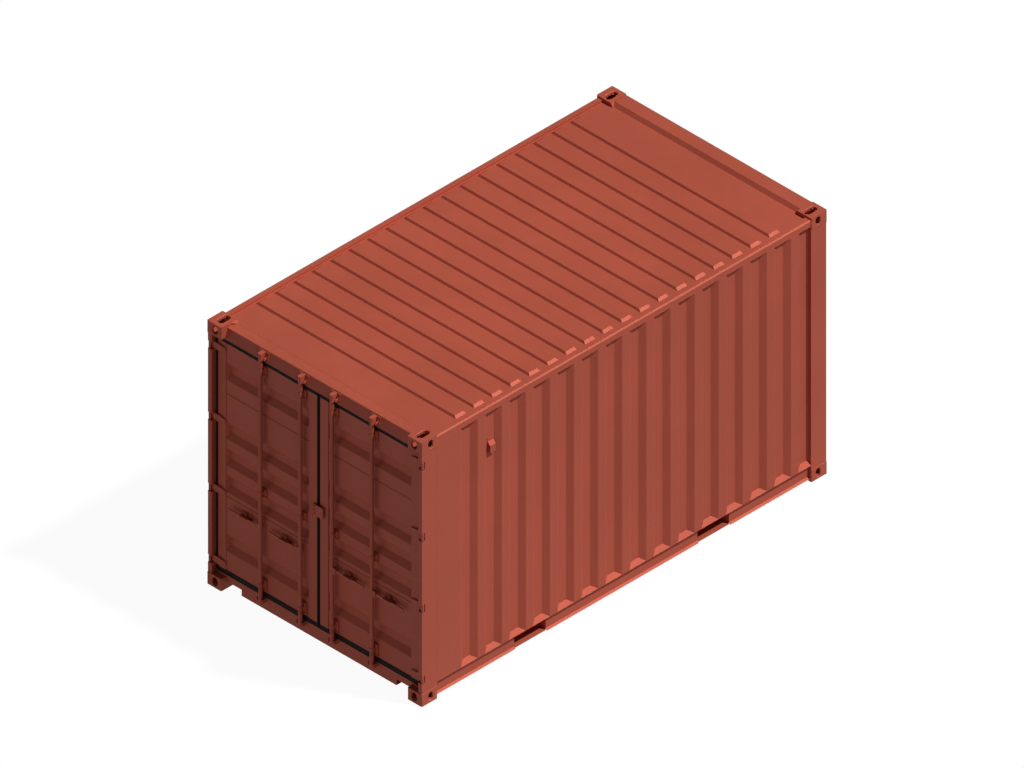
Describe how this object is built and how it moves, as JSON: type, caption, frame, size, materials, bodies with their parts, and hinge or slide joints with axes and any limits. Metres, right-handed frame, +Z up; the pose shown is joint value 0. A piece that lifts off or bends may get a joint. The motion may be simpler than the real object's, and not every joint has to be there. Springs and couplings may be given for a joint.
{
  "type": "shipping container",
  "caption": "Closed corrugated steel box with corner fittings, fork pockets, a timber floor and double end doors held by turning lock rods with lift-over handles.",
  "frame": {"origin": "on the ground, under the middle of the box", "axes": "+X across to the doors' right, +Y from the doors to the closed end, +Z up"},
  "size_m": [2.438, 4.6, 2.591],
  "materials": {
    "body_paint": "satin",
    "casting_paint": "satin",
    "gear_paint": "satin",
    "gasket_rubber": "matt",
    "floor_wood": "matt",
    "underframe_paint": "matt"
  },
  "bodies": {
    "box": {"corner_fittings_door_top": "casting_paint", "corner_fittings_door_bottom": "casting_paint", "corner_fittings_end_top": "casting_paint", "corner_fittings_end_bottom": "casting_paint", "door_post_left": "body_paint", "door_post_right": "body_paint", "end_post_left": "body_paint", "end_post_right": "body_paint", "door_header": "body_paint", "door_sill": "body_paint", "end_header": "body_paint", "end_sill": "body_paint", "top_rail_left": "body_paint", "top_rail_right": "body_paint", "bottom_rail_left": "body_paint", "bottom_rail_right": "body_paint", "side_wall_left": "body_paint", "side_wall_right": "body_paint", "end_wall": "body_paint", "roof_panel": "body_paint", "floor_boards": "floor_wood", "cross_members": "underframe_paint", "fork_pockets": "underframe_paint", "ventilators": "body_paint", "rod_keepers": "gear_paint", "hinge_lugs": "gear_paint"},
    "door_left": {"door_frame_left": "body_paint", "door_panel_left": "body_paint", "door_gasket_left": "gasket_rubber", "hinge_blades_left": "gear_paint", "rod_brackets_left": "gear_paint", "overlap_plate": "gear_paint"},
    "door_right": {"door_frame_right": "body_paint", "door_panel_right": "body_paint", "door_gasket_right": "gasket_rubber", "hinge_blades_right": "gear_paint", "rod_brackets_right": "gear_paint"},
    "rod_left_outer": {"lock_rod_left_outer": "gear_paint"},
    "grip_left_outer": {"handle_left_outer": "gear_paint"},
    "rod_left_inner": {"lock_rod_left_inner": "gear_paint"},
    "grip_left_inner": {"handle_left_inner": "gear_paint"},
    "rod_right_inner": {"lock_rod_right_inner": "gear_paint"},
    "grip_right_inner": {"handle_right_inner": "gear_paint"},
    "rod_right_outer": {"lock_rod_right_outer": "gear_paint"},
    "grip_right_outer": {"handle_right_outer": "gear_paint"}
  },
  "joints": [
    {"name": "door_left_swing", "type": "hinge", "parent": "box", "child": "door_left", "pos_m": [-1.205, -2.278, 1.303], "axis": [0, 0, -1], "range_deg": [0, 264]},
    {"name": "door_right_swing", "type": "hinge", "parent": "box", "child": "door_right", "pos_m": [1.205, -2.278, 1.303], "axis": [0, 0, 1], "range_deg": [0, 264]},
    {"name": "rod_left_outer_turn", "type": "hinge", "parent": "door_left", "child": "rod_left_outer", "pos_m": [-0.632, -2.28, 1.3], "axis": [0, 0, -1], "range_deg": [-100, 0]},
    {"name": "rod_left_inner_turn", "type": "hinge", "parent": "door_left", "child": "rod_left_inner", "pos_m": [-0.18, -2.28, 1.3], "axis": [0, 0, -1], "range_deg": [-100, 0]},
    {"name": "rod_right_inner_turn", "type": "hinge", "parent": "door_right", "child": "rod_right_inner", "pos_m": [0.18, -2.28, 1.3], "axis": [0, 0, 1], "range_deg": [-100, 0]},
    {"name": "rod_right_outer_turn", "type": "hinge", "parent": "door_right", "child": "rod_right_outer", "pos_m": [0.632, -2.28, 1.3], "axis": [0, 0, 1], "range_deg": [-100, 0]},
    {"name": "handle_left_outer_lift", "type": "hinge", "parent": "rod_left_outer", "child": "grip_left_outer", "pos_m": [-0.666, -2.28, 0.828], "axis": [0, -1, 0], "range_deg": [-15, 0]},
    {"name": "handle_left_inner_lift", "type": "hinge", "parent": "rod_left_inner", "child": "grip_left_inner", "pos_m": [-0.214, -2.28, 0.828], "axis": [0, -1, 0], "range_deg": [-15, 0]},
    {"name": "handle_right_inner_lift", "type": "hinge", "parent": "rod_right_inner", "child": "grip_right_inner", "pos_m": [0.214, -2.28, 0.828], "axis": [0, 1, 0], "range_deg": [-15, 0]},
    {"name": "handle_right_outer_lift", "type": "hinge", "parent": "rod_right_outer", "child": "grip_right_outer", "pos_m": [0.666, -2.28, 0.828], "axis": [0, 1, 0], "range_deg": [-15, 0]}
  ]
}
